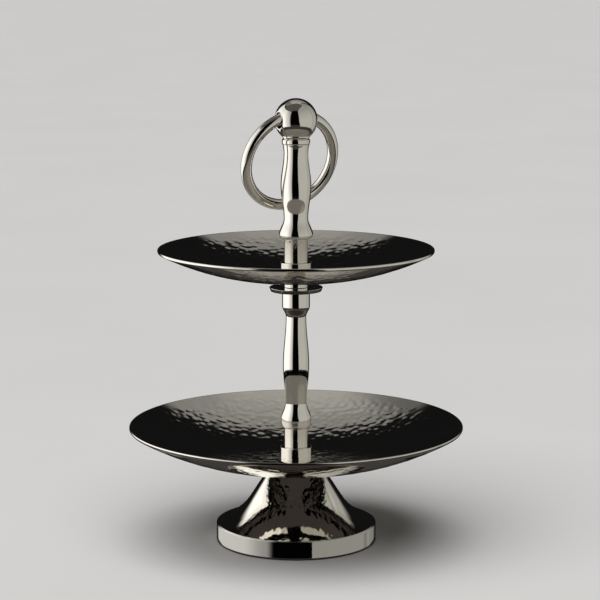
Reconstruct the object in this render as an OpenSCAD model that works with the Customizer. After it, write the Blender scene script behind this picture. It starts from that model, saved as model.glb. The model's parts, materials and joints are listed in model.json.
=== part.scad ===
// Two-tier cake stand: a trumpet foot, two hammered bowls held between turned
// columns, and a ball finial with a ring handle that swings in a cross hole.
// Millimetres, +Z up, origin at the centre of the foot's resting face.

/* [Foot] */
// Diameter of the foot at its upright band
foot_d = 134.6; // [130:0.2:140]
// Height of the foot's top face above the table
foot_h = 64.2; // [62:0.1:68]
// Height of the band's top edge above the table
band_top_z = 15.8; // [14:0.1:17]
// Diameter of the foot's neck, under the lower bowl
foot_neck_d = 43; // [40:0.5:46]
// Diameter and height where the straight cone meets the flare
cone_end_d = 77; // [74:0.5:80]
// Height above the table where the straight cone meets the flare
cone_end_z = 37.5; // [36:0.5:40]
// Wall of the cast foot
foot_wall = 2.6; // [2:0.1:3.2]
// Thickness of the felt ring under the band
felt_t = 1; // [0.8:0.1:1.5]

/* [Bowls] */
// Rim diameter of the lower bowl
lower_bowl_d = 280; // [270:1:290]
// Height of the lower bowl's rim above its underside
lower_bowl_h = 35.6; // [32:0.2:38]
// Radius of the lower bowl's flat bottom
lower_flat_r = 20; // [16:1:24]
// Rim diameter of the upper bowl
upper_bowl_d = 230; // [224:1:240]
// Height of the upper bowl's rim above its underside
upper_bowl_h = 26.6; // [24:0.2:29]
// Radius of the upper bowl's flat bottom, wide enough to seat the collar
upper_flat_r = 15; // [14:1:20]
// Thickness of both bowls
bowl_t = 2.6; // [2.2:0.1:3]
// Thickness of the gaskets on both sides of each bowl
gasket_t = 0.8; // [0.6:0.1:1]

/* [Collars and sleeves] */
// Diameter of the collar above the lower bowl
lower_collar_d = 26.8; // [26:0.2:28]
// Height of the collar above the lower bowl
lower_collar_h = 12.2; // [11:0.2:13]
// Diameter of the collar above the upper bowl
upper_collar_d = 26.2; // [26:0.2:28]
// Height of the collar above the upper bowl
upper_collar_h = 11; // [10:0.2:12]
// Diameter of both sleeves
sleeve_d = 20; // [19:0.2:21]
// Height of the sleeve above the lower collar
lower_sleeve_h = 16.3; // [15:0.1:18]
// Height of the sleeve above the upper collar
upper_sleeve_h = 19.4; // [18:0.1:21]
// Width of the small bevel on turned edges
edge = 0.6; // [0.4:0.1:0.8]

/* [Columns] */
// Height of the lower column
lower_column_h = 116.2; // [112:0.2:120]
// Height of the upper column
upper_column_h = 78.8; // [76:0.2:82]
// Diameter of the support disc under the upper bowl
disc_d = 44.6; // [42:0.2:48]
// Thickness of the support disc
disc_t = 3.4; // [3:0.1:4]
// Diameter of the boss between the disc and the upper bowl
boss_d = 20; // [19:0.5:22]
// Height of that boss
boss_h = 5.7; // [5:0.1:6.5]

/* [Finial and ring] */
// Diameter of the ball finial
ball_d = 35.6; // [35:0.2:37]
// Height of the ball's centre above its seat
ball_seat = 15.8; // [15.4:0.1:16.2]
// Diameter of the neck ring under the ball
neck_ring_d = 23.4; // [22:0.2:24]
// Height of the neck ring
neck_ring_h = 4.1; // [3.5:0.1:4.5]
// Diameter of the hole across the ball, at its two mouths
cross_hole_d = 13; // [12.8:0.1:13.4]
// Diameter of the ring handle's wire
wire_d = 9.2; // [9:0.1:9.3]
// Diameter of the ring handle at the wire's centre line
ring_d = 80; // [78:0.5:84]
// How far the ring leans back, in degrees; it meets the column at 11.8
ring_lean = 17.6; // [12:0.1:24]

/* [Fasteners] */
// Thread diameter of the foot bolt and of the joint stud
thread_d = 8; // [8]
// Thread diameter of the finial's stud
finial_thread_d = 6; // [6]
// Clearance diameter of the holes that these threads pass through
clear_d = 8.6; // [8.4:0.1:9]

/* [Hidden] */
$fn = 96;

polished = [0.86, 0.84, 0.8];
hammered = [0.76, 0.74, 0.7];
steel = [0.62, 0.63, 0.65];
gasket_black = [0.08, 0.08, 0.08];
felt_black = [0.12, 0.12, 0.13];

// Heights of the stack, from the table up
lower_bowl_z = foot_h + gasket_t;
lower_floor_z = lower_bowl_z + bowl_t;
lower_collar_z = lower_floor_z + gasket_t;
lower_sleeve_z = lower_collar_z + lower_collar_h;
lower_column_z = lower_sleeve_z + lower_sleeve_h;
disc_z = lower_column_z + lower_column_h;
boss_z = disc_z + disc_t;
upper_gasket_z = boss_z + boss_h;
upper_bowl_z = upper_gasket_z + gasket_t;
upper_floor_z = upper_bowl_z + bowl_t;
upper_collar_z = upper_floor_z + gasket_t;
upper_sleeve_z = upper_collar_z + upper_collar_h;
upper_column_z = upper_sleeve_z + upper_sleeve_h;
neck_ring_z = upper_column_z + upper_column_h;
ball_seat_z = neck_ring_z + neck_ring_h;
ball_z = ball_seat_z + ball_seat;

// Foot: a cone that flares into the band along one arc
foot_r = foot_d / 2;
cone_r = cone_end_d / 2;
neck_r = foot_neck_d / 2;
foot_plate_t = 4.2;
foot_plate_z = foot_h - foot_plate_t;
band_wall = 5;
band_in_r = foot_r - band_wall;
cone_lean = atan2(cone_r - neck_r, foot_h - cone_end_z);
flare_chord = [foot_r - edge - cone_r, band_top_z - cone_end_z];
flare_turn = atan2(flare_chord[1], flare_chord[0]) + 90 - cone_lean;
flare_r = norm(flare_chord) / (2 * sin(flare_turn));
flare_centre = [cone_r, cone_end_z] + flare_r * [cos(cone_lean), sin(cone_lean)];
flare_from = 180 + cone_lean;
flare_to = flare_from + 2 * flare_turn;
hollow_flare_r = flare_r + foot_wall;
hollow_to = 360 - acos((band_in_r - flare_centre[0]) / hollow_flare_r);
hollow_start = flare_centre + hollow_flare_r * [cos(flare_from), sin(flare_from)];
hollow_top_r = hollow_start[0] - (foot_plate_z - hollow_start[1]) * tan(cone_lean);
felt_inset = 0.8;

// Turned outlines, as [radius, height above the column's base]
bell_foot_r = 10.6;
lower_turns = [[13.2, 6.3], [9.05, 21.6], [11, 54], [8.5, 94.5], [11.6, 103.6]];
upper_turns = [[14.3, 3.2], [10.1, 17.2], [12.75, 44.4], [10.15, 71.4]];
lower_lip_r = 11.6;
upper_lip_r = 11.3;
column_steps = 9;
bell_steps = 5;
arc_steps = 12;

// Fasteners
thread_r = thread_d / 2;
finial_thread_r = finial_thread_d / 2;
clear_r = clear_d / 2;
washer_r = 12;
washer_t = 2;
spring_washer_r = 7.4;
spring_washer_t = 2;
spring_washer_split = 1;
washer_z = foot_plate_z - washer_t;
spring_washer_z = washer_z - spring_washer_t;
bolt_head_af = 13;
bolt_head_h = 5.3;
bolt_len = 50;
bolt_tip = 1;
stud_len = 72;
stud_in_lower = 14;
stud_z = disc_z - stud_in_lower;
finial_stud_len = 20;
finial_stud_up = 6.4;
finial_stud_z = ball_seat_z + finial_stud_up - finial_stud_len;
socket_spare = 2;
sleeve_bore_r = 6.5;
gasket_r = 11.5;

// Finial and ring
ball_r = ball_d / 2;
cross_hole_r = cross_hole_d / 2;
neck_top_r = 11.9;
neck_foot_r = 10.3;
mouth_bevel = 0.8;
wire_r = wire_d / 2;
ring_r = ring_d / 2;
hole_half_len = sqrt(ball_r * ball_r - cross_hole_r * cross_hole_r);
// The wire's crown stands this far above the hole's axis, so that the wire
// is near the middle of both mouths; inside, the hole bulges to clear it
wire_rise = 4;
hole_gap = 0.3;
bulge_r = ring_r + wire_r + hole_gap;
bulge_centre = [wire_rise - ring_r, 0];
bulge_turn = acos((cross_hole_r - bulge_centre[0]) / bulge_r);
bulge_steps = 12;

// Points of an arc round centre c, radius r, from angle a to angle b
function arc(c, r, a, b, n) = [
    for (i = [0:n]) c + r * [cos(a + (b - a) * i / n), sin(a + (b - a) * i / n)]
];

// Smooth turned curve from point p to point q, upright at both ends, without p
function swell(p, q, n) = [
    for (i = [1:n]) [p[0] + (q[0] - p[0]) * (1 - cos(180 * i / n)) / 2, p[1] + (q[1] - p[1]) * i / n]
];

// Convex quarter round from a flat base at p out to an upright tangent at q
function bell_foot(p, q, n) = [
    for (i = [0:n])
        [p[0] + (q[0] - p[0]) * sin(90 * i / n), p[1] + (q[1] - p[1]) * (1 - cos(90 * i / n))]
];

// Lip that flares from an upright tangent at point p up to point q, without p
function flared_lip(p, q, n) = [
    for (i = [1:n]) [p[0] + (q[0] - p[0]) * pow(i / n, 2), p[1] + (q[1] - p[1]) * i / n]
];

// Whole outline of a column: bell foot, swells through every turn, then the lip
function column_outline(turns, lip) = concat(
    bell_foot([bell_foot_r, 0], turns[0], bell_steps),
    [for (i = [1:len(turns) - 1]) each swell(turns[i - 1], turns[i], column_steps)],
    lip[0] == turns[len(turns) - 1][0] ? [lip] : flared_lip(turns[len(turns) - 1], lip, bell_steps)
);

// Outline of the ball's cross hole about its axis: bevelled mouths, short
// straight lands, and a bulge along the curve of the wire
function hole_outline() =
    let (
        end_z = ball_r + 1,
        bevel_z = hole_half_len - mouth_bevel,
        end_r = cross_hole_r + end_z - bevel_z
    )
    concat(
        [[0, -end_z], [end_r, -end_z], [cross_hole_r, -bevel_z]],
        arc(bulge_centre, bulge_r, -bulge_turn, bulge_turn, bulge_steps),
        [[cross_hole_r, bevel_z], [end_r, end_z], [0, end_z]]
    );

// Outline of a bowl: a flat bottom and one arc up to an upright rim edge
function bowl_outline(rim_r, rim_h, flat_r) =
    let (
        span = rim_r - flat_r,
        inner_r = (span * span + pow(rim_h - bowl_t, 2)) / (2 * (rim_h - bowl_t)),
        outer_r = inner_r + bowl_t,
        c = [flat_r, outer_r],
        inner_end = -90 + asin(span / inner_r),
        outer_end = -90 + asin(span / outer_r),
        inner = arc(c, inner_r, -90, inner_end, arc_steps),
        outer = arc(c, outer_r, outer_end, -90, arc_steps)
    )
    concat([[clear_r, bowl_t]], inner, outer, [[clear_r, 0]]);

module lathe(z) {
    translate([0, 0, z])
        rotate_extrude()
            children();
}

module tube(z, h, r, bore_r) {
    lathe(z)
        polygon([[bore_r, 0], [r, 0], [r, h], [bore_r, h]]);
}

module bevelled_tube(z, h, r, bore_r) {
    lathe(z)
        polygon([
            [bore_r, 0], [r - edge, 0], [r, edge], [r, h - edge], [r - edge, h], [bore_r, h]
        ]);
}

module gasket(z) {
    color(gasket_black)
        tube(z, gasket_t, gasket_r, clear_r);
}

module socket(z, h, r) {
    translate([0, 0, z])
        cylinder(h = h, r = r);
}

module turned_column(z, turns, lip) {
    lathe(z)
        polygon(concat([[0, 0]], column_outline(turns, lip), [[0, lip[1]]]));
}

module foot_felt_ring() {
    color(felt_black)
        tube(0, felt_t, foot_r - felt_inset, band_in_r + felt_inset);
}

module foot_shell() {
    color(polished)
        lathe(0)
            polygon(concat(
                [[clear_r, foot_h], [neck_r, foot_h]],
                arc(flare_centre, flare_r, flare_from, flare_to, arc_steps),
                [[foot_r, band_top_z - edge], [foot_r, felt_t + edge], [foot_r - edge, felt_t]],
                [[band_in_r, felt_t]],
                arc(flare_centre, hollow_flare_r, hollow_to, flare_from, arc_steps),
                [[hollow_top_r, foot_plate_z], [clear_r, foot_plate_z]]
            ));
}

module foot_washer() {
    color(steel)
        tube(washer_z, washer_t, washer_r, clear_r);
}

module foot_spring_washer() {
    color(steel)
        difference() {
            tube(spring_washer_z, spring_washer_t, spring_washer_r, clear_r);
            translate([0, -spring_washer_split / 2, spring_washer_z - 1])
                cube([spring_washer_r + 1, spring_washer_split, spring_washer_t + 2]);
        }
}

module foot_bolt() {
    color(steel) {
        translate([0, 0, spring_washer_z - bolt_head_h])
            cylinder(h = bolt_head_h, d = bolt_head_af / cos(30), $fn = 6);
        lathe(spring_washer_z)
            polygon([
                [0, 0], [thread_r, 0], [thread_r, bolt_len - bolt_tip],
                [thread_r - bolt_tip, bolt_len], [0, bolt_len]
            ]);
    }
}

module lower_bowl_under_gasket() {
    gasket(foot_h);
}

module lower_bowl() {
    color(hammered)
        lathe(lower_bowl_z)
            polygon(bowl_outline(lower_bowl_d / 2, lower_bowl_h, lower_flat_r));
}

module lower_bowl_top_gasket() {
    gasket(lower_floor_z);
}

module lower_collar() {
    color(polished)
        bevelled_tube(lower_collar_z, lower_collar_h, lower_collar_d / 2, clear_r);
}

module lower_sleeve() {
    color(polished)
        bevelled_tube(lower_sleeve_z, lower_sleeve_h, sleeve_d / 2, sleeve_bore_r);
}

module lower_column() {
    bolt_top_z = spring_washer_z + bolt_len;
    color(polished)
        difference() {
            turned_column(lower_column_z, lower_turns, [lower_lip_r, lower_column_h]);
            socket(lower_column_z - 1, bolt_top_z + socket_spare - lower_column_z + 1, thread_r);
            socket(stud_z - socket_spare, stud_in_lower + socket_spare + 1, thread_r);
        }
}

module joint_stud() {
    color(steel)
        lathe(stud_z)
            polygon([
                [0, 0], [thread_r - bolt_tip, 0], [thread_r, bolt_tip],
                [thread_r, stud_len - bolt_tip], [thread_r - bolt_tip, stud_len], [0, stud_len]
            ]);
}

module support_disc() {
    disc_r = disc_d / 2;
    under_taper = 1.2;
    color(polished)
        lathe(disc_z)
            polygon([
                [clear_r, 0], [disc_r - under_taper, 0], [disc_r, disc_t - edge],
                [disc_r - edge, disc_t], [boss_d / 2, disc_t],
                [boss_d / 2, disc_t + boss_h], [clear_r, disc_t + boss_h]
            ]);
}

module upper_bowl_under_gasket() {
    gasket(upper_gasket_z);
}

module upper_bowl() {
    color(hammered)
        lathe(upper_bowl_z)
            polygon(bowl_outline(upper_bowl_d / 2, upper_bowl_h, upper_flat_r));
}

module upper_bowl_top_gasket() {
    gasket(upper_floor_z);
}

module upper_collar() {
    color(polished)
        bevelled_tube(upper_collar_z, upper_collar_h, upper_collar_d / 2, clear_r);
}

module upper_sleeve() {
    color(polished)
        bevelled_tube(upper_sleeve_z, upper_sleeve_h, sleeve_d / 2, sleeve_bore_r);
}

module upper_column() {
    stud_top_z = stud_z + stud_len;
    color(polished)
        difference() {
            turned_column(upper_column_z, upper_turns, [upper_lip_r, upper_column_h]);
            socket(upper_column_z - 1, stud_top_z + socket_spare - upper_column_z + 1, thread_r);
            socket(
                finial_stud_z - socket_spare,
                neck_ring_z - finial_stud_z + socket_spare + 1,
                finial_thread_r
            );
        }
}

module neck_ring() {
    color(polished)
        bevelled_tube(neck_ring_z, neck_ring_h, neck_ring_d / 2, finial_thread_r);
}

module finial_stud() {
    tip = bolt_tip / 2;
    color(steel)
        lathe(finial_stud_z)
            polygon([
                [0, 0], [finial_thread_r - tip, 0], [finial_thread_r, tip],
                [finial_thread_r, finial_stud_len - tip],
                [finial_thread_r - tip, finial_stud_len], [0, finial_stud_len]
            ]);
}

module ball_finial() {
    neck_h = ball_seat - sqrt(ball_r * ball_r - neck_top_r * neck_top_r);
    color(polished)
        difference() {
            union() {
                difference() {
                    translate([0, 0, ball_z])
                        sphere(r = ball_r);
                    translate([0, 0, ball_seat_z - ball_r])
                        cylinder(h = ball_r, r = ball_r);
                }
                lathe(ball_seat_z)
                    polygon([
                        [0, 0], [neck_foot_r, 0], [neck_top_r, neck_h], [neck_top_r - 1, ball_seat / 2],
                        [0, ball_seat / 2]
                    ]);
            }
            translate([0, 0, ball_z])
                rotate([0, 90, 0])
                    rotate_extrude()
                        polygon(hole_outline());
            socket(ball_seat_z - 1, finial_stud_up + 1, finial_thread_r);
        }
}

module ring_handle() {
    color(polished)
        translate([0, 0, ball_z])
            rotate([ring_lean, 0, 0])
                translate([0, 0, wire_rise - ring_r])
                    rotate([90, 0, 0])
                        rotate_extrude()
                            translate([ring_r, 0])
                                circle(r = wire_r);
}

foot_felt_ring();
foot_shell();
foot_bolt();
foot_spring_washer();
foot_washer();
lower_bowl_under_gasket();
lower_bowl();
lower_bowl_top_gasket();
lower_collar();
lower_sleeve();
lower_column();
joint_stud();
support_disc();
upper_bowl_under_gasket();
upper_bowl();
upper_bowl_top_gasket();
upper_collar();
upper_sleeve();
upper_column();
neck_ring();
finial_stud();
ball_finial();
ring_handle();
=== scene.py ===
"""Looks of a two-tier cake stand: hammered bowls, turned columns and a ring handle."""

import json
import math

import bpy
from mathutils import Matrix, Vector


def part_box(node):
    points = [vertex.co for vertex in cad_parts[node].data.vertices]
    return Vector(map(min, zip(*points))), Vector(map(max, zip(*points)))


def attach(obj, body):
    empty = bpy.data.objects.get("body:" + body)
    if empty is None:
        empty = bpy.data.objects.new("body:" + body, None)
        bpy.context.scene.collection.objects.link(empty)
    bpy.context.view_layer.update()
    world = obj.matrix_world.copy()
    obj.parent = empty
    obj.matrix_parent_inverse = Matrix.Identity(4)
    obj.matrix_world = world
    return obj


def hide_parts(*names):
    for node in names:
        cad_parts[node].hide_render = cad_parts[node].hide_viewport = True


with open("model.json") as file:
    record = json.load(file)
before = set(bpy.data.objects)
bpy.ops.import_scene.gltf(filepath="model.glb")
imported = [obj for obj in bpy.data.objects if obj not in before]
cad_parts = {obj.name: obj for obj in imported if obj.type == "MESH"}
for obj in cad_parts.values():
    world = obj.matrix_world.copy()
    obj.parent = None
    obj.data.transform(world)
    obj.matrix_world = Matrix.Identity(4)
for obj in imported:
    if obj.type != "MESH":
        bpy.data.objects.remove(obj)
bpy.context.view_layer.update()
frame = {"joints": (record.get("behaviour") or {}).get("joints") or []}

MM = 0.001
FULL_TURN = 2 * math.pi

# How finely the turned pieces are cut
AROUND_COLUMN = 160
AROUND_FOOT = 256
AROUND_BALL = 192
AROUND_GASKET = 96
AROUND_STUD = 64
CURVE_STEPS = 14
CORNER_STEPS = 4
SUPPORT = 0.15

# The cast foot, in millimetres
FOOT_WALL = 2.6
FOOT_PLATE = 4.2
BAND_TOP = 15.8
BAND_WALL = 5.0
CONE_END_R = 38.5
CONE_END_Z = 37.5
NECK_R = 21.5
FELT_INSET = 0.8

# Bolt, studs and the holes that they pass through
CLEAR_R = 4.3
SLEEVE_BORE_R = 6.5
THREAD_R = 4.0
THREAD_PITCH = 1.25
FINE_THREAD_R = 3.0
FINE_PITCH = 1.0
THREAD_DEPTH = 0.55
BOLT_HEAD_T = 5.3
BOLT_SHANK = 14.0
SOCKET_SPARE = 2.0

# Turned outlines as (radius, height above the column's base), the same turns as the solid model's
BELL_FOOT_R = 10.6
LOWER_TURNS = [(13.2, 6.3), (9.05, 21.6), (11.0, 54.0), (8.5, 94.5), (11.6, 103.6)]
UPPER_TURNS = [(14.3, 3.2), (10.1, 17.2), (12.75, 44.4), (10.15, 71.4)]
UPPER_LIP_R = 11.3

# Disc under the upper bowl
DISC_T = 3.4
BOSS_R = 10.0

# Bowls
BOWL_WALL = 2.6
LOWER_FLAT_R = 20.0
UPPER_FLAT_R = 15.0
LOWER_BOWL_RINGS = 116
UPPER_BOWL_RINGS = 100
BOWL_HOLE_RING = 4
BOWL_RIM_STRIP = 2.0

# Hammer marks, and where they fade out: inwards from the rim, and round the collar's seat
DENT = 6.0
DENT_DEPTH = 0.26
RIM_FADE = (16, 5)
SEAT_FADE = (12.0, 17.0)

# Ball and ring
BALL_R = 17.8
NECK_FOOT_R = 10.3
NECK_TOP_R = 11.9
CROSS_HOLE_R = 6.5
HOLE_GAP = 0.3
WIRE_R = 4.6
RING_R = 40.0
WIRE_RISE = 4.0


# ---------------------------------------------------------------- node benches

class Wire:
    """A socket on a node bench; sums and products of wires add the Math nodes that work them out."""

    def __init__(self, bench, socket):
        self.bench = bench
        self.socket = socket

    def maths(self, operation, *values):
        return self.bench.node("ShaderNodeMath", {"operation": operation}, dict(enumerate(values)))[0]

    def __add__(self, other):
        return self.maths("ADD", self, other)

    def __radd__(self, other):
        return self.maths("ADD", other, self)

    def __sub__(self, other):
        return self.maths("SUBTRACT", self, other)

    def __rsub__(self, other):
        return self.maths("SUBTRACT", other, self)

    def __mul__(self, other):
        return self.maths("MULTIPLY", self, other)

    def __rmul__(self, other):
        return self.maths("MULTIPLY", other, self)

    def __truediv__(self, other):
        return self.maths("DIVIDE", self, other)

    def __rtruediv__(self, other):
        return self.maths("DIVIDE", other, self)

    def __lt__(self, other):
        return self.maths("LESS_THAN", self, other)

    def __gt__(self, other):
        return self.maths("GREATER_THAN", self, other)

    def __pow__(self, other):
        return self.maths("POWER", self, other)

    def clamped(self):
        return self.maths("MINIMUM", self.maths("MAXIMUM", self, 0.0), 1.0)

    def root(self):
        return self.maths("SQRT", self)


class Bench:
    """A node tree being wired up, for a finish or for Geometry Nodes."""

    def __init__(self, tree):
        self.tree = tree

    def node(self, kind, settings=None, inputs=None):
        """Adds a node, sets it up, feeds its sockets by name or index, and returns its outputs as wires."""
        made = self.tree.nodes.new(kind)
        for key, value in (settings or {}).items():
            if key == "stops":
                self.set_stops(made.color_ramp, value)
            else:
                setattr(made, key, value)
        for key, value in (inputs or {}).items():
            self.feed(made.inputs[key], value)
        return [Wire(self, socket) for socket in made.outputs]

    def set_stops(self, ramp, stops):
        while len(ramp.elements) < len(stops):
            ramp.elements.new(1.0)
        for element, (place, colour) in zip(ramp.elements, stops):
            element.position = place
            element.color = (*colour, 1.0)

    def feed(self, socket, value):
        if isinstance(value, Wire):
            self.tree.links.new(value.socket, socket)
        else:
            socket.default_value = value


class Finish(Bench):
    """A material on a bench, with one Principled shader and the piece's own coordinates."""

    def __init__(self, name, **constants):
        self.material = bpy.data.materials.new(name)
        self.material.use_nodes = True
        super().__init__(self.material.node_tree)
        self.tree.nodes.clear()
        self.shader = self.tree.nodes.new("ShaderNodeBsdfPrincipled")
        output = self.tree.nodes.new("ShaderNodeOutputMaterial")
        self.tree.links.new(self.shader.outputs[0], output.inputs["Surface"])
        for socket, value in constants.items():
            self.shader.inputs[socket.replace("_", " ")].default_value = value
        self.place = self.node("ShaderNodeTexCoord")[3]

    def noise(self, per_metre, detail=3.0, stretch=(1, 1, 1)):
        """Noise in the piece's own space, its features about one over per_metre across."""
        mapped = self.node("ShaderNodeMapping", {}, {"Vector": self.place, "Scale": stretch})[0]
        inputs = {"Vector": mapped, "Scale": per_metre, "Detail": detail}
        return self.node("ShaderNodeTexNoise", {}, inputs)[0]

    def tint(self, amount, low, high):
        """Colour between low and high as amount goes from 0 to 1."""
        inputs = {"Factor": amount, 6: (*low, 1.0), 7: (*high, 1.0)}
        return self.node("ShaderNodeMix", {"data_type": "RGBA"}, inputs)[2]

    def relief(self, height, strength, distance):
        """Normal of a fine surface relief."""
        inputs = {"Height": height, "Strength": strength, "Distance": distance}
        return self.node("ShaderNodeBump", {}, inputs)[0]

    def coat(self, socket, value):
        self.feed(self.shader.inputs[socket], value)


def shape_tree(name, sizes, with_mesh=True):
    """An empty Geometry Nodes tree with named number inputs, and wires for its mesh and its sizes."""
    tree = bpy.data.node_groups.new(name, "GeometryNodeTree")
    if with_mesh:
        tree.interface.new_socket("Mesh", in_out="INPUT", socket_type="NodeSocketGeometry")
    for size in sizes:
        tree.interface.new_socket(size, in_out="INPUT", socket_type="NodeSocketFloat")
    tree.interface.new_socket("Finish", in_out="INPUT", socket_type="NodeSocketMaterial")
    tree.interface.new_socket("Mesh", in_out="OUTPUT", socket_type="NodeSocketGeometry")
    bench = Bench(tree)
    wires = bench.node("NodeGroupInput")
    names = [item.name for item in tree.interface.items_tree if item.in_out == "INPUT"]
    return bench, dict(zip(names, wires))


def close_tree(bench, mesh, finish):
    """Ends a tree: real geometry, shaded smooth, in one finish."""
    real = bench.node("GeometryNodeRealizeInstances", {}, {0: mesh})[0]
    smooth = bench.node("GeometryNodeSetShadeSmooth", {}, {"Geometry": real})[0]
    painted = bench.node("GeometryNodeSetMaterial", {}, {"Geometry": smooth, "Material": finish})[0]
    bench.node("NodeGroupOutput", {}, {0: painted})


def shape(piece, tree, sizes):
    """Runs a tree on a piece and leaves a plain mesh."""
    modifier = piece.modifiers.new("shape", "NODES")
    modifier.node_group = tree
    for item in tree.interface.items_tree:
        if item.in_out == "INPUT" and item.name in sizes:
            modifier[item.identifier] = sizes[item.name]
    bpy.context.view_layer.update()
    evaluated = piece.evaluated_get(bpy.context.evaluated_depsgraph_get())
    made = bpy.data.meshes.new_from_object(evaluated)
    piece.modifiers.clear()
    piece.data = made
    return piece


# ---------------------------------------------------------------- finishes

def bright_nickel(name, lines_across):
    """Mirror-polished nickel plate with a faint haze and the finest trace of the polishing wheel."""
    finish = Finish(name, Metallic=1.0)
    haze = finish.noise(38.0, 4.0)
    wiped = finish.noise(160.0, 5.0)
    wheel = finish.noise(900.0, 2.0, lines_across)
    finish.coat("Base Color", finish.tint(haze, (0.80, 0.765, 0.705), (0.87, 0.84, 0.785)))
    finish.coat("Roughness", (0.03 + 0.035 * haze + 0.02 * wiped * wheel).clamped())
    finish.coat("Normal", finish.relief(wheel, 0.05, 0.02 * MM))
    return finish.material


def hammered_nickel():
    """Nickel plate over hammer marks: bright on the ridges, a little duller in the dents."""
    finish = Finish("hammered_nickel", Metallic=1.0)
    cells = finish.node("ShaderNodeTexVoronoi", {}, {"Vector": finish.place, "Scale": 1 / (DENT * MM)})[0]
    haze = finish.noise(30.0, 4.0)
    peen = finish.noise(420.0, 3.0)
    dent = (1 - cells * 1.7).clamped()
    finish.coat("Base Color", finish.tint(dent * haze, (0.84, 0.81, 0.75), (0.75, 0.715, 0.655)))
    finish.coat("Roughness", (0.045 + 0.05 * dent * haze + 0.03 * peen).clamped())
    finish.coat("Normal", finish.relief(peen, 0.12, 0.06 * MM))
    return finish.material


def zinc_steel():
    """Zinc-plated steel: fine crystal grain with a faint blue and straw tint."""
    finish = Finish("zinc_steel", Metallic=1.0)
    grain = finish.noise(1500.0, 3.0)
    patch = finish.noise(120.0, 2.0)
    finish.coat("Base Color", finish.tint(patch, (0.56, 0.60, 0.66), (0.68, 0.66, 0.60)))
    finish.coat("Roughness", (0.22 + 0.18 * grain).clamped())
    finish.coat("Normal", finish.relief(grain, 0.25, 0.03 * MM))
    return finish.material


def black_rubber():
    """Matt moulded rubber with a dusty bloom."""
    finish = Finish("black_rubber", Specular_IOR_Level=0.3)
    bloom = finish.noise(300.0, 4.0)
    grain = finish.noise(2500.0, 2.0)
    finish.coat("Base Color", finish.tint(bloom, (0.012, 0.012, 0.013), (0.045, 0.044, 0.042)))
    finish.coat("Roughness", (0.62 + 0.25 * bloom).clamped())
    finish.coat("Normal", finish.relief(grain, 0.3, 0.05 * MM))
    return finish.material


def pressed_felt():
    """Black pressed felt: short tangled fibres."""
    finish = Finish("pressed_felt", Sheen_Weight=0.4, Sheen_Roughness=0.5, Specular_IOR_Level=0.1)
    along = finish.noise(1400.0, 4.0, (1.0, 0.25, 1.0))
    across = finish.noise(1400.0, 4.0, (0.25, 1.0, 1.0))
    tangle = along.maths("MAXIMUM", along, across)
    finish.coat("Base Color", finish.tint(tangle, (0.01, 0.01, 0.012), (0.075, 0.075, 0.08)))
    finish.coat("Roughness", (0.8 + 0.2 * tangle).clamped())
    finish.coat("Normal", finish.relief(tangle, 0.8, 0.2 * MM))
    return finish.material


NICKEL_TURNED = bright_nickel("turned_nickel", (0.02, 0.02, 1.0))
NICKEL_WIRE = bright_nickel("wire_nickel", (1.0, 1.0, 1.0))
NICKEL_HAMMERED = hammered_nickel()
ZINC = zinc_steel()
RUBBER = black_rubber()
FELT = pressed_felt()


# ---------------------------------------------------------------- outlines

def base_of(node):
    """Height of a node's foot, in millimetres."""
    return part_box(node)[0].z / MM


def height_of(node):
    low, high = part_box(node)
    return (high.z - low.z) / MM


def radius_of(node):
    """Radius of a round node, from its larger side, in millimetres."""
    low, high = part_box(node)
    return max(high.x - low.x, high.y - low.y) / 2 / MM


def swell(start, end):
    """Smooth turned curve from one (radius, height) to the next, upright at both ends, without its start."""
    (r0, z0), (r1, z1) = start, end
    shares = [step / CURVE_STEPS for step in range(1, CURVE_STEPS + 1)]
    return [(r0 + (r1 - r0) * (1 - math.cos(math.pi * s)) / 2, z0 + (z1 - z0) * s) for s in shares]


def flared_lip(start, end):
    """Lip that flares out from an upright tangent, without its start."""
    (r0, z0), (r1, z1) = start, end
    shares = [step / CURVE_STEPS for step in range(1, CURVE_STEPS + 1)]
    return [(r0 + (r1 - r0) * s ** 2, z0 + (z1 - z0) * s) for s in shares]


def quarter(start, end):
    """Convex quarter round from a flat base out to an upright tangent."""
    (r0, z0), (r1, z1) = start, end
    turns = [math.pi / 2 * step / CURVE_STEPS for step in range(CURVE_STEPS + 1)]
    return [(r0 + (r1 - r0) * math.sin(t), z0 + (z1 - z0) * (1 - math.cos(t))) for t in turns]


def arc(centre, radius, start, end, steps=CURVE_STEPS):
    """Points of an arc, its angles in radians."""
    angles = [start + (end - start) * step / steps for step in range(steps + 1)]
    return [(centre[0] + radius * math.cos(a), centre[1] + radius * math.sin(a)) for a in angles]


def rounded(corners):
    """Outline through (radius, height, rounding) corners, each arc with a support point on both its sides."""
    points = []
    for index, (r, z, rounding) in enumerate(corners):
        here = Vector((r, z))
        if rounding == 0:
            points.append((r, z))
            continue
        back = (Vector(corners[index - 1][:2]) - here).normalized()
        ahead = (Vector(corners[(index + 1) % len(corners)][:2]) - here).normalized()
        half = back.angle(ahead) / 2
        reach = rounding / math.tan(half)
        centre = here + (back + ahead).normalized() * rounding / math.sin(half)
        start = here + back * reach - centre
        end = here + ahead * reach - centre
        first = math.atan2(start.y, start.x)
        turn = (math.atan2(end.y, end.x) - first + math.pi) % FULL_TURN - math.pi
        points.append(tuple(here + back * (reach + SUPPORT)))
        points += arc(centre, rounding, first, first + turn, CORNER_STEPS)
        points.append(tuple(here + ahead * (reach + SUPPORT)))
    return points


def plain(points):
    """Points of a curve as corners without rounding."""
    return [(r, z, 0) for r, z in points]


# ---------------------------------------------------------------- meshes

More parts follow.
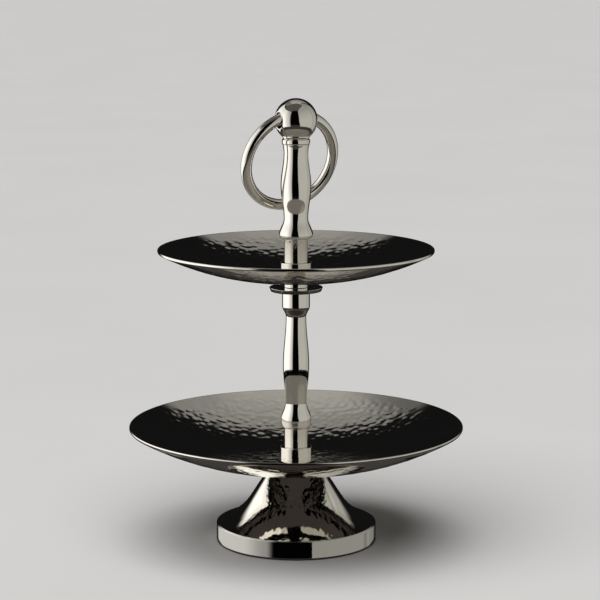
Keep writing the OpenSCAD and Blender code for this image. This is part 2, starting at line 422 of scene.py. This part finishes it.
def make_piece(name, vertices, faces, finish):
    mesh = bpy.data.meshes.new(name)
    mesh.from_pydata(vertices, [], faces)
    mesh.polygons.foreach_set("use_smooth", [True] * len(mesh.polygons))
    mesh.materials.append(finish)
    mesh.update()
    piece = bpy.data.objects.new(name, mesh)
    bpy.context.scene.collection.objects.link(piece)
    return piece


def turned_mesh(outline, around, base=0.0):
    """Vertices and faces turned from an outline, which closes on itself or starts and ends on the axis."""
    vertices, rows, faces = [], [], []
    for r, z in outline:
        count = 1 if r == 0 else around
        rows.append(range(len(vertices), len(vertices) + count))
        for step in range(count):
            angle = FULL_TURN * step / count
            vertices.append((r * MM * math.cos(angle), r * MM * math.sin(angle), (base + z) * MM))
    closing = [] if outline[0][0] == 0 else [(rows[-1], rows[0])]
    for lower, upper in list(zip(rows, rows[1:])) + closing:
        for step in range(around):
            after = (step + 1) % around
            if len(lower) == 1:
                faces.append((lower[0], upper[after], upper[step]))
            elif len(upper) == 1:
                faces.append((lower[step], lower[after], upper[0]))
            else:
                faces.append((lower[step], lower[after], upper[after], upper[step]))
    return vertices, faces


def install(piece, body, slot, *nodes):
    """Hangs a finished piece on its body in place of its solid."""
    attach(piece, body)
    if nodes:
        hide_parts(*nodes)
    return piece


def turned(node, outline, finish, slot, around=AROUND_COLUMN):
    """A piece turned from an outline measured from its own foot, in place of its node."""
    vertices, faces = turned_mesh(outline, around, base_of(node))
    piece = make_piece("turned_" + node, vertices, faces, finish)
    return install(piece, "stand", slot, node)


def polished(node, corners, around=AROUND_COLUMN):
    return turned(node, rounded(corners), NICKEL_TURNED, "polished_plate", around)


def ring_corners(node, bore, foot_rounding, top_rounding):
    """Corners of a plain ring or sleeve."""
    r, h = radius_of(node), height_of(node)
    return [(bore, 0, 0.3), (r, 0, foot_rounding), (r, h, top_rounding), (bore, h, 0.3)]


def column(node, turns, lip_r, socket_depth, top_socket_r, top_socket_depth):
    """A turned column with a threaded socket at both ends."""
    h = height_of(node)
    curve = quarter((BELL_FOOT_R, 0), turns[0])
    for start, end in zip(turns, turns[1:]):
        curve += swell(start, end)
    if lip_r != turns[-1][0]:
        curve += flared_lip(turns[-1], (lip_r, h))[:-1]
    corners = [(0, socket_depth, 0), (THREAD_R, socket_depth, 0.3), (THREAD_R, 0, 0.4)]
    corners += plain(curve)
    corners += [(lip_r, h, 0.35), (top_socket_r, h, 0.4)]
    corners += [(top_socket_r, h - top_socket_depth, 0.3), (0, h - top_socket_depth, 0)]
    return polished(node, corners)


# ---------------------------------------------------------------- foot

def foot_outline():
    """The foot's wall: a band, a flare that meets the cone smoothly, and the same flare again inside."""
    foot_r = radius_of("foot_shell")
    base = base_of("foot_shell")
    top = base + height_of("foot_shell")
    lean = math.atan2(CONE_END_R - NECK_R, top - CONE_END_Z)
    edge = 0.6
    chord = Vector((foot_r - edge - CONE_END_R, BAND_TOP - CONE_END_Z))
    turn = math.atan2(chord.y, chord.x) + math.pi / 2 - lean
    flare_r = chord.length / (2 * math.sin(turn))
    centre = (CONE_END_R + flare_r * math.cos(lean), CONE_END_Z + flare_r * math.sin(lean))
    start, end = math.pi + lean, math.pi + lean + 2 * turn
    hollow_r = flare_r + FOOT_WALL
    hollow_end = FULL_TURN - math.acos((foot_r - BAND_WALL - centre[0]) / hollow_r)
    hollow = arc(centre, hollow_r, start, hollow_end, 30)
    plate = top - FOOT_PLATE
    hollow_top_r = hollow[0][0] - (plate - hollow[0][1]) * math.tan(lean)
    corners = [(CLEAR_R, plate, 0.3), (hollow_top_r, plate, 1.5)]
    corners += plain(hollow)
    corners += [(foot_r - BAND_WALL, base, 0.6), (foot_r, base, 0.8), (foot_r, BAND_TOP, 0.55)]
    corners += plain(reversed(arc(centre, flare_r, start, end, 40)))
    corners += [(NECK_R, top, 0.4), (CLEAR_R, top, 0.3)]
    return [(r, z - base) for r, z in rounded(corners)]


turned("foot_shell", foot_outline(), NICKEL_TURNED, "polished_plate", AROUND_FOOT)

felt_r = radius_of("foot_felt_ring")
felt_t = height_of("foot_felt_ring")
felt_inner_r = radius_of("foot_shell") - BAND_WALL + FELT_INSET
felt_corners = [(felt_inner_r, 0, 0.3), (felt_r, 0, 0.3), (felt_r, felt_t, 0.2), (felt_inner_r, felt_t, 0.2)]
turned("foot_felt_ring", rounded(felt_corners), FELT, "black_felt", AROUND_FOOT)


# ---------------------------------------------------------------- columns, collars and sleeves

for tier in ("lower", "upper"):
    polished(f"{tier}_collar", ring_corners(f"{tier}_collar", CLEAR_R, 0.4, 0.9))
    polished(f"{tier}_sleeve", ring_corners(f"{tier}_sleeve", SLEEVE_BORE_R, 0.35, 0.35))
    for side in ("under", "top"):
        gasket = f"{tier}_bowl_{side}_gasket"
        gasket_outline = rounded(ring_corners(gasket, CLEAR_R, 0.25, 0.25))
        turned(gasket, gasket_outline, RUBBER, "gasket_rubber", AROUND_GASKET)

bolt_top = base_of("foot_bolt") + height_of("foot_bolt")
stud_top = base_of("joint_stud") + height_of("joint_stud")
column(
    "lower_column", LOWER_TURNS, LOWER_TURNS[-1][0], bolt_top + SOCKET_SPARE - base_of("lower_column"),
    THREAD_R, base_of("support_disc") - base_of("joint_stud") + SOCKET_SPARE,
)
column(
    "upper_column", UPPER_TURNS, UPPER_LIP_R, stud_top + SOCKET_SPARE - base_of("upper_column"),
    FINE_THREAD_R, base_of("neck_ring") - base_of("finial_stud") + SOCKET_SPARE,
)

disc_r = radius_of("support_disc")
boss_top = height_of("support_disc")
polished("support_disc", [
    (CLEAR_R, 0, 0.3), (disc_r - 1.2, 0, 0.5), (disc_r, DISC_T - 0.3, 0.25), (disc_r - 0.3, DISC_T, 0.25),
    (BOSS_R, DISC_T, 0.5), (BOSS_R, boss_top, 0.4), (CLEAR_R, boss_top, 0.3),
])
polished("neck_ring", ring_corners("neck_ring", FINE_THREAD_R, 0.9, 0.9))


# ---------------------------------------------------------------- fasteners

def winding_tree():
    """A section swept along a helix, joined to a core: a thread, or a split spring washer."""
    sizes = ["Radius", "Rise", "Turns", "Foot", "Section", "Corners", "Tilt"]
    bench, given = shape_tree("winding", sizes)
    spiral = bench.node("GeometryNodeCurveSpiral", {}, {
        "Resolution": 48, "Rotations": given["Turns"], "Start Radius": given["Radius"],
        "End Radius": given["Radius"], "Height": given["Rise"],
    })[0]
    upright = bench.node("GeometryNodeSetCurveNormal", {}, {"Curve": spiral})[0]
    corners = bench.node("FunctionNodeFloatToInt", {}, {0: given["Corners"]})[0]
    cut = {"Resolution": corners, "Radius": given["Section"]}
    section = bench.node("GeometryNodeCurvePrimitiveCircle", {}, cut)[0]
    roll = bench.node("ShaderNodeCombineXYZ", {}, {"Z": given["Tilt"]})[0]
    rolled = bench.node("GeometryNodeTransform", {}, {"Geometry": section, "Rotation": roll})[0]
    swept = {"Curve": upright, "Profile Curve": rolled, "Fill Caps": True}
    ridge = bench.node("GeometryNodeCurveToMesh", {}, swept)[0]
    lift = bench.node("ShaderNodeCombineXYZ", {}, {"Z": given["Foot"]})[0]
    raised = bench.node("GeometryNodeTransform", {}, {"Geometry": ridge, "Translation": lift})[0]
    joined = bench.node("GeometryNodeJoinGeometry", {}, {0: raised})
    join = joined[0].socket.node
    bench.tree.links.new(given["Mesh"].socket, join.inputs[0])
    close_tree(bench, joined[0], given["Finish"])
    return bench.tree


WINDING = winding_tree()


def threaded(piece, radius, pitch, foot, length):
    """Winds a thread of that outer radius on a finished core."""
    section = 0.5 * pitch
    return shape(piece, WINDING, {
        "Radius": (radius - section) * MM, "Rise": length * MM, "Turns": length / pitch, "Foot": foot * MM,
        "Section": section * MM, "Corners": 3.0, "Tilt": 0.0, "Finish": ZINC,
    })


def stud(node, radius, pitch):
    """A plain stud with bevelled ends and a thread from end to end."""
    h = height_of(node)
    core = radius - THREAD_DEPTH * pitch
    end_gap = 1.2
    outline = rounded([(0, 0, 0), (core, 0, 0.5), (core, h, 0.5), (0, h, 0)])
    vertices, faces = turned_mesh(outline, AROUND_STUD, base_of(node))
    piece = make_piece("threaded_" + node, vertices, faces, ZINC)
    threaded(piece, radius, pitch, base_of(node) + end_gap, h - 2 * end_gap)
    return install(piece, "stand", "zinc_steel", node)


def bolt():
    """Hexagon bolt: its head's corners are cut back by a cone, as on a real forged head."""
    flat_half = min(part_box("foot_bolt")[1].x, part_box("foot_bolt")[1].y) / MM
    head = BOLT_HEAD_T
    base = base_of("foot_bolt")
    h = height_of("foot_bolt")
    around = 96
    past_corner = flat_half * 1.16
    shank_r = THREAD_R - 0.02
    shank_end = head + BOLT_SHANK
    core = THREAD_R - THREAD_DEPTH * THREAD_PITCH
    vertices, faces = turned_mesh(rounded([
        (0, 0, 0), (flat_half - 0.5, 0, 0), (past_corner, 1.0, 0), (past_corner, head - 0.2, 0),
        (flat_half - 0.3, head, 0), (shank_r, head, 0.3), (shank_r, shank_end, 0.2),
        (core, shank_end + 0.8, 0.1), (core, h, 0.5), (0, h, 0),
    ]), around, base)
    shaped = []
    for x, y, z in vertices:
        r = math.hypot(x, y)
        angle = math.atan2(y, x) % (math.pi / 3) - math.pi / 6
        flat_r = flat_half * MM / math.cos(angle)
        share = min(1.0, flat_r / r) if r > (THREAD_R + 1) * MM else 1.0
        shaped.append((x * share, y * share, z))
    piece = make_piece("hexagon_bolt", shaped, faces, ZINC)
    threaded(piece, THREAD_R, THREAD_PITCH, base + shank_end + 1.5, h - shank_end - 3)
    return install(piece, "stand", "zinc_steel", "foot_bolt")


bolt()
stud("joint_stud", THREAD_R, THREAD_PITCH)
stud("finial_stud", FINE_THREAD_R, FINE_PITCH)
washer_outline = rounded(ring_corners("foot_washer", CLEAR_R, 0.3, 0.5))
turned("foot_washer", washer_outline, ZINC, "zinc_steel", AROUND_GASKET)


def spring_washer():
    """One turn of square wire, its two ends a little out of line."""
    empty = make_piece("spring_washer", [], [], ZINC)
    h = height_of("foot_spring_washer")
    middle = (CLEAR_R + radius_of("foot_spring_washer")) / 2
    section = h / 2 * 0.85
    shape(empty, WINDING, {
        "Radius": middle * MM, "Rise": 0.25 * MM, "Turns": 0.965, "Finish": ZINC, "Corners": 4.0,
        "Foot": (base_of("foot_spring_washer") + h / 2 - 0.12) * MM, "Section": section * math.sqrt(2) * MM,
        "Tilt": math.pi / 4,
    })
    return install(empty, "stand", "zinc_steel", "foot_spring_washer")


spring_washer()


# ---------------------------------------------------------------- bowls

def hammer_tree():
    """Round overlapping hammer marks pressed into a bowl, faded out at its rim and under its collar."""
    sizes = ["Dent size", "Dent depth", "Fade from", "Fade to", "Seat from", "Seat to"]
    bench, given = shape_tree("hammer_marks", sizes)
    place = bench.node("GeometryNodeInputPosition")[0]
    normal = bench.node("GeometryNodeInputNormal")[0]
    x, y, z = bench.node("ShaderNodeSeparateXYZ", {}, {0: place})
    up = bench.node("ShaderNodeSeparateXYZ", {}, {0: normal})[2]
    sides_apart = 0.05
    side = up.maths("SIGN", up) * sides_apart
    shift = bench.node("ShaderNodeCombineXYZ", {}, {"Z": side})[0]
    moved = bench.node("ShaderNodeVectorMath", {"operation": "ADD"}, {0: place, 1: shift})[0]
    scale = 1.0 / given["Dent size"]
    reach = bench.node("ShaderNodeTexVoronoi", {}, {"Vector": moved, "Scale": scale, "Randomness": 0.9})[0]
    hollow = (1 - (reach * 1.45) ** 2.0).clamped()
    radius = (x * x + y * y).root()

    def fade(start, end, low, high):
        inputs = {"Value": radius, "From Min": start, "From Max": end, "To Min": low, "To Max": high}
        return bench.node("ShaderNodeMapRange", {"interpolation_type": "SMOOTHSTEP"}, inputs)[0]

    off_rim = fade(given["Fade from"], given["Fade to"], 1.0, 0.0)
    off_seat = fade(given["Seat from"], given["Seat to"], 0.0, 1.0)
    depth = hollow * (off_rim * off_seat) * given["Dent depth"] * -1.0
    push = bench.node("ShaderNodeVectorMath", {"operation": "SCALE"}, {0: normal, "Scale": depth})[0]
    pressed = bench.node("GeometryNodeSetPosition", {}, {"Geometry": given["Mesh"], "Offset": push})[0]
    close_tree(bench, pressed, given["Finish"])
    return bench.tree


HAMMER = hammer_tree()


def bowl_side(vertices, faces, profile, rings, up):
    """One side of a bowl: rings of six more points each, for an even mesh. Returns its two end rings."""
    made = []
    for ring in range(BOWL_HOLE_RING, rings + 1):
        r, z = profile(ring / rings)
        made.append(range(len(vertices), len(vertices) + 6 * ring))
        for step in range(6 * ring):
            angle = FULL_TURN * step / (6 * ring)
            vertices.append((r * MM * math.cos(angle), r * MM * math.sin(angle), z * MM))
    for inner, outer in zip(made, made[1:]):
        ring = len(inner) // 6
        for sector in range(6):
            for step in range(ring + 1):
                a = inner[(sector * ring + step) % len(inner)]
                b = outer[sector * (ring + 1) + step]
                c = outer[(sector * (ring + 1) + step + 1) % len(outer)]
                faces.append((a, b, c) if up else (a, c, b))
                if step < ring:
                    d = inner[(sector * ring + step + 1) % len(inner)]
                    faces.append((a, c, d) if up else (a, d, c))
    return made[0], made[-1]


def bowl(node, flat_r, rings):
    """A hammered bowl: even mesh inside and outside, an upright rim edge and a bolt hole."""
    rim_r, rim_h, base = radius_of(node), height_of(node), base_of(node)
    span = rim_r - flat_r
    inner_r = (span ** 2 + (rim_h - BOWL_WALL) ** 2) / (2 * (rim_h - BOWL_WALL))
    outer_r = inner_r + BOWL_WALL
    centre_z = base + outer_r

    def side(radius):
        flare = math.asin((span - BOWL_RIM_STRIP) / radius)
        length = flat_r + radius * flare

        def profile(share):
            run = share * length
            if run <= flat_r:
                return run, centre_z - radius
            turn = (run - flat_r) / radius
            return flat_r + radius * math.sin(turn), centre_z - radius * math.cos(turn)

        return profile

    vertices, faces = [], []
    inside_hole, inside_rim = bowl_side(vertices, faces, side(inner_r), rings, True)
    outside_hole, outside_rim = bowl_side(vertices, faces, side(outer_r), rings, False)
    top_z = centre_z - math.sqrt(inner_r ** 2 - span ** 2)
    foot_z = centre_z - math.sqrt(outer_r ** 2 - span ** 2)
    rim = rounded([
        (*side(inner_r)(1.0), 0), (rim_r, top_z, 1.0), (rim_r, foot_z, 1.2), (*side(outer_r)(1.0), 0),
    ])[1:-1]
    rows = [inside_rim]
    for r, z in rim:
        rows.append(range(len(vertices), len(vertices) + len(inside_rim)))
        for step in range(len(inside_rim)):
            angle = FULL_TURN * step / len(inside_rim)
            vertices.append((r * MM * math.cos(angle), r * MM * math.sin(angle), z * MM))
    rows.append(outside_rim)
    for upper, lower in list(zip(rows, rows[1:])) + [(outside_hole, inside_hole)]:
        for step in range(len(upper)):
            after = (step + 1) % len(upper)
            faces.append((upper[step], lower[step], lower[after], upper[after]))
    piece = make_piece("hammered_" + node, vertices, faces, NICKEL_HAMMERED)
    fade_from, fade_to = RIM_FADE
    seat_from, seat_to = SEAT_FADE
    shape(piece, HAMMER, {
        "Dent size": DENT * MM, "Dent depth": DENT_DEPTH * MM, "Finish": NICKEL_HAMMERED,
        "Fade from": (rim_r - fade_from) * MM, "Fade to": (rim_r - fade_to) * MM,
        "Seat from": seat_from * MM, "Seat to": seat_to * MM,
    })
    return install(piece, "stand", "hammered_plate", node)


bowl("lower_bowl", LOWER_FLAT_R, LOWER_BOWL_RINGS)
bowl("upper_bowl", UPPER_FLAT_R, UPPER_BOWL_RINGS)


# ---------------------------------------------------------------- ball and ring

hinge = frame["joints"][0]
hinge_z = hinge["pos_m"][2] / MM


def ball():
    """The ball, turned about its cross hole, which bulges inside to clear the ring's curve."""
    seat = base_of("ball_finial")
    mouth = math.sqrt(BALL_R ** 2 - CROSS_HOLE_R ** 2)
    limit = math.asin((mouth - 1.2) / BALL_R)
    skin = arc((0, 0), BALL_R, -limit, limit, 72)
    bulge_r = RING_R + WIRE_R + HOLE_GAP
    bulge_turn = math.acos((CROSS_HOLE_R - WIRE_RISE + RING_R) / bulge_r)
    bulge = arc((WIRE_RISE - RING_R, 0), bulge_r, bulge_turn, -bulge_turn, 24)
    corners = [(CROSS_HOLE_R, -mouth, 0.8)] + plain(skin) + [(CROSS_HOLE_R, mouth, 0.8)] + plain(bulge)
    vertices, faces = turned_mesh(rounded(corners), AROUND_BALL)
    placed = [(z, x, max(y + hinge_z * MM, seat * MM)) for x, y, z in vertices]
    piece = make_piece("ball", placed, faces, NICKEL_TURNED)
    install(piece, "stand", "polished_plate", "ball_finial")


def ball_neck():
    """Short cone under the ball; its line runs on a little way into the ball, where it is out of sight."""
    seat = base_of("ball_finial")
    neck_h = hinge_z - seat - math.sqrt(BALL_R ** 2 - NECK_TOP_R ** 2)
    run_on = 1.35
    hidden_top = 5.5
    neck = rounded([
        (FINE_THREAD_R, 0, 0.3), (NECK_FOOT_R, 0, 0.25),
        (NECK_FOOT_R + (NECK_TOP_R - NECK_FOOT_R) * run_on, neck_h * run_on, 0),
        (NECK_TOP_R - 1, hidden_top, 0), (FINE_THREAD_R, hidden_top, 0),
    ])
    vertices, faces = turned_mesh(neck, AROUND_COLUMN, seat)
    install(make_piece("ball_neck", vertices, faces, NICKEL_TURNED), "stand", "polished_plate")


def ring_tree():
    """Round wire bent to a ring and set in its place."""
    bench, given = shape_tree("wire_ring", ["Ring radius", "Wire radius", "Lean", "Drop"], with_mesh=False)

    def circle(points, radius):
        inputs = {"Resolution": points, "Radius": radius}
        return bench.node("GeometryNodeCurvePrimitiveCircle", {}, inputs)[0]

    line = circle(288, given["Ring radius"])
    section = circle(64, given["Wire radius"])
    wire = bench.node("GeometryNodeCurveToMesh", {}, {"Curve": line, "Profile Curve": section})[0]
    turn = bench.node("ShaderNodeCombineXYZ", {}, {"X": given["Lean"] + math.pi / 2})[0]
    rotated = bench.node("GeometryNodeTransform", {}, {"Geometry": wire, "Rotation": turn})[0]
    lean = given["Lean"]
    back = lean.maths("SINE", lean) * given["Drop"]
    down = lean.maths("COSINE", lean) * given["Drop"] * -1.0
    move = bench.node("ShaderNodeCombineXYZ", {}, {"Y": back, "Z": down + hinge_z * MM})[0]
    placed = bench.node("GeometryNodeTransform", {}, {"Geometry": rotated, "Translation": move})[0]
    close_tree(bench, placed, given["Finish"])
    return bench.tree


def ring():
    """The handle, at the lean that its solid has."""
    low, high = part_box("ring_handle")
    drop = RING_R - WIRE_RISE
    lean = math.asin((high.y + low.y) / 2 / MM / drop)
    piece = make_piece("ring_wire", [], [], NICKEL_WIRE)
    shape(piece, ring_tree(), {
        "Ring radius": RING_R * MM, "Wire radius": WIRE_R * MM, "Lean": lean, "Drop": drop * MM,
        "Finish": NICKEL_WIRE,
    })
    install(piece, "ring", "polished_plate", "ring_handle")


ball()
ball_neck()
ring()


# ---------------------------------------------------------------- studio

# The camera's place and aim, in metres; its azimuth and the sheets' in degrees
CAMERA_AZIMUTH = -28.0
CAMERA_DISTANCE = 1.7734
CAMERA_HEIGHT = 0.50255
CAMERA_LENS = 129.46
AIM_HEIGHT = 0.2053
AIM_ASIDE = 0.0033

# Brightness of each part of the tent, of the sun and of what lies beyond the floor
LEFT_LIGHT = 1.25
RIGHT_LIGHT = 0.50
ARCH_LIGHT = 0.36
HAT_LIGHT = 0.09
TABLE_LIGHT = 0.045
BACKDROP_LIGHT = 0.006
SUN_LIGHT = 3.0
PALE = (0.61, 0.605, 0.595)

# The diffusers: how far off they stand, the edges of the dark gap between them, and their far edge
SHEET_R = 0.6
SHEET_ROW = 0.08
GLEAM_R = 0.2
GLEAM_HEIGHTS = (-0.045, -0.014)
LEFT_EDGE = -27
RIGHT_EDGES = [(0.0, 25), (0.36, 17), (1.07, 14), (1.75, 56)]
RIGHT_GLEAM_EDGE = 19
FAR_EDGE = 142
FAR_FULL = 128

FLOOR_R = 60.0

# Places of two outputs on a Light Path node
CAMERA_RAY = 0
GLOSSY_DEPTH = 11


def set_camera():
    """Camera with a long lens, a little above the stand and looking down on it."""
    turn = math.radians(CAMERA_AZIMUTH)
    camera = bpy.data.cameras.new("camera")
    camera.sensor_width = 36.0
    camera.lens = CAMERA_LENS
    holder = bpy.data.objects.new("camera", camera)
    bpy.context.scene.collection.objects.link(holder)
    holder.location = (CAMERA_DISTANCE * math.sin(turn), -CAMERA_DISTANCE * math.cos(turn), CAMERA_HEIGHT)
    target = Vector((AIM_ASIDE * math.cos(turn), AIM_ASIDE * math.sin(turn), AIM_HEIGHT))
    holder.rotation_euler = (target - holder.location).to_track_quat("-Z", "Y").to_euler()
    bpy.context.scene.camera = holder
    return turn


def studio_dome():
    """Dim tent over the stand: a grey arch behind and above, a dull patch overhead, darkness elsewhere."""
    world = bpy.data.worlds.new("light_tent")
    world.use_nodes = True
    bench = Bench(world.node_tree)
    bench.tree.nodes.clear()
    direction = bench.node("ShaderNodeTexCoord")[0]
    turned_to_camera = bench.node("ShaderNodeVectorRotate", {"rotation_type": "Z_AXIS"}, {
        "Vector": direction, "Angle": -camera_turn,
    })[0]
    right, away, up = bench.node("ShaderNodeSeparateXYZ", {}, {0: turned_to_camera})
    elevation = up.maths("ARCSINE", up) * math.degrees(1)

    def ease(value, start, end):
        """0 before start and 1 past end, also where end is below start."""
        rising = start < end
        inputs = {"Value": value, 1: min(start, end), 2: max(start, end), 3: 1.0 - rising, 4: float(rising)}
        return bench.node("ShaderNodeMapRange", {"interpolation_type": "SMOOTHSTEP"}, inputs)[0]

    def band(value, start, full, fading, end):
        """1 from full to fading, easing to 0 at start and end."""
        return ease(value, start, full) * ease(value, end, fading)

    def patch(mask, brightness, colour):
        scaled = [mask * (brightness * part) for part in colour]
        return bench.node("ShaderNodeCombineXYZ", {}, dict(enumerate(scaled)))[0]

    cloud_inputs = {"Vector": turned_to_camera, "Scale": 3.2, "Detail": 2.0}
    cloud = bench.node("ShaderNodeTexNoise", {}, cloud_inputs)[0]
    over = up.maths("ARCTAN2", up, away * -1.0) * math.degrees(1)
    arch = band(over, 98, 104, 135, 141) * ease(right, -0.62, -0.5)
    arch = arch * (0.5 + 0.5 * ease(right, -0.32, -0.2)) * (0.55 + 0.9 * cloud)
    arch = arch * (0.6 + 0.55 * ease(over, 140, 100))
    bounced = bench.node("ShaderNodeLightPath")[GLOSSY_DEPTH]
    hat = band(over, 50, 56, 98, 104) * (0.7 + 0.6 * cloud + 1.3 * (bounced > 1.5))
    backdrop = ease(away, -0.2, 0.4)
    light = patch(arch, ARCH_LIGHT, (1.0, 0.99, 0.94))
    for part in (
        patch(hat, HAT_LIGHT, (1.0, 0.97, 0.93)),
        patch(0.15 + backdrop, BACKDROP_LIGHT, (1.0, 1.0, 1.03)),
        patch(ease(elevation, -20, -28), TABLE_LIGHT, (1.0, 0.88, 0.82)),
    ):
        light = bench.node("ShaderNodeVectorMath", {"operation": "ADD"}, {0: light, 1: part})[0]
    seen = bench.node("ShaderNodeLightPath")[CAMERA_RAY]
    shown = bench.node("ShaderNodeMix", {"data_type": "RGBA"}, {"Factor": seen, 6: light, 7: (*PALE, 1.0)})[2]
    glow = bench.node("ShaderNodeBackground", {}, {"Color": shown, "Strength": 1.0})[0]
    bench.node("ShaderNodeOutputWorld", {}, {"Surface": glow})
    bpy.context.scene.world = world


def between(value, start, end):
    """Smooth step from 0 at start to 1 at end."""
    share = min(1.0, max(0.0, (value - start) / (end - start)))
    return share * share * (3 - 2 * share)


def light_sheet(name, radius, rows, glow, colour, first_bounce_only=False):
    """A curved diffuser round the stand, its rows given as (height, first azimuth, last azimuth)."""
    columns = 72
    dimming = 0.35
    vertices, faces, brightness = [], [], []
    for height, first, last in rows:
        for step in range(columns + 1):
            azimuth = first + (last - first) * step / columns
            turn = camera_turn + math.radians(azimuth)
            vertices.append((radius * math.sin(turn), -radius * math.cos(turn), height))
            brightness.append(glow(azimuth) * (1 - dimming * between(height, 0.35, 1.0)))
    for row in range(len(rows) - 1):
        for step in range(columns):
            a = row * (columns + 1) + step
            faces.append((a, a + 1, a + columns + 2, a + columns + 1))
    paper = bpy.data.materials.new(name)
    paper.use_nodes = True
    bench = Bench(paper.node_tree)
    bench.tree.nodes.clear()
    level = bench.node("ShaderNodeAttribute", {"attribute_name": "brightness"})[2]
    if first_bounce_only:
        level = level * (bench.node("ShaderNodeLightPath")[GLOSSY_DEPTH] < 1.5)
    shine = bench.node("ShaderNodeEmission", {}, {"Color": (*colour, 1.0), "Strength": level})[0]
    bench.node("ShaderNodeOutputMaterial", {}, {"Surface": shine})
    sheet = make_piece(name, vertices, faces, paper)
    values = sheet.data.attributes.new("brightness", "FLOAT", "POINT")
    values.data.foreach_set("value", brightness)
    paper.cycles.emission_sampling = "NONE"
    sheet.visible_camera = False
    sheet.visible_diffuse = False
    sheet.visible_shadow = False


def white_side(azimuth):
    """Brightness of the left diffuser, which grows away from the dark gap."""
    rise = 0.5 * between(-azimuth, 27, 37) + 0.5 * between(-azimuth, 36, 72)
    return LEFT_LIGHT * rise * between(-azimuth, FAR_EDGE, FAR_FULL)


def grey_side(azimuth):
    """Brightness of the right diffuser, which has a fold and a darker end."""
    fold = 0.3 * between(azimuth, 97, 101) * between(azimuth, 109, 104)
    darker_end = 0.2 * between(azimuth, 112, 118)
    return RIGHT_LIGHT * (1 - fold - darker_end) * between(azimuth, FAR_EDGE, FAR_FULL)


def light_sheets():
    """White diffuser to the left, warm grey one to the right, and their low reflections round the foot."""
    left_rows = [(SHEET_ROW * row, LEFT_EDGE, -FAR_EDGE) for row in range(13)]
    light_sheet("sheet_left", SHEET_R, left_rows, white_side, (1.0, 1.0, 0.985))
    right_rows = [(height, edge, FAR_EDGE) for height, edge in RIGHT_EDGES]
    light_sheet("sheet_right", SHEET_R, right_rows, grey_side, (1.0, 0.995, 0.93))
    left_rows = [(height, LEFT_EDGE, -FAR_EDGE) for height in GLEAM_HEIGHTS]
    light_sheet("gleam_left", GLEAM_R, left_rows, lambda a: 0.5 * white_side(a), (1, 1, 0.98), True)
    right_rows = [(height, RIGHT_GLEAM_EDGE, FAR_EDGE) for height in GLEAM_HEIGHTS]
    light_sheet("gleam_right", GLEAM_R, right_rows, lambda a: 0.6 * grey_side(a), (1, 0.99, 0.93), True)


def soft_sun():
    """Broad even light from above for the floor; the polished metal mirrors the tent and the sheets alone."""
    light = bpy.data.lights.new("soft_sun", "SUN")
    light.energy = SUN_LIGHT
    light.angle = math.radians(70)
    holder = bpy.data.objects.new("soft_sun", light)
    bpy.context.scene.collection.objects.link(holder)
    holder.rotation_euler = (math.radians(12), math.radians(-18), 0)
    holder.visible_glossy = False


def floor_finish():
    """Plain pale paper."""
    finish = Finish("pale_floor", Specular_IOR_Level=0.2)
    cloud = finish.noise(3.0, 2.0)
    finish.coat("Base Color", finish.tint(cloud, (0.66, 0.655, 0.645), (0.69, 0.685, 0.675)))
    finish.coat("Roughness", (0.55 + 0.1 * cloud).clamped())
    return finish.material


def disc_floor(name, outer_r, finish):
    """A flat round floor of thin wedges."""
    around = 128
    vertices = [(0, 0, 0)]
    for step in range(around):
        angle = FULL_TURN * step / around
        vertices.append((outer_r * math.cos(angle), outer_r * math.sin(angle), 0))
    faces = [(0, 1 + step, 1 + (step + 1) % around) for step in range(around)]
    piece = make_piece(name, vertices, faces, finish)
    return piece


camera_turn = set_camera()
studio_dome()
light_sheets()
soft_sun()

floor = disc_floor("floor", FLOOR_R, floor_finish())
floor.visible_glossy = False

bpy.context.scene.view_settings.view_transform = "Standard"
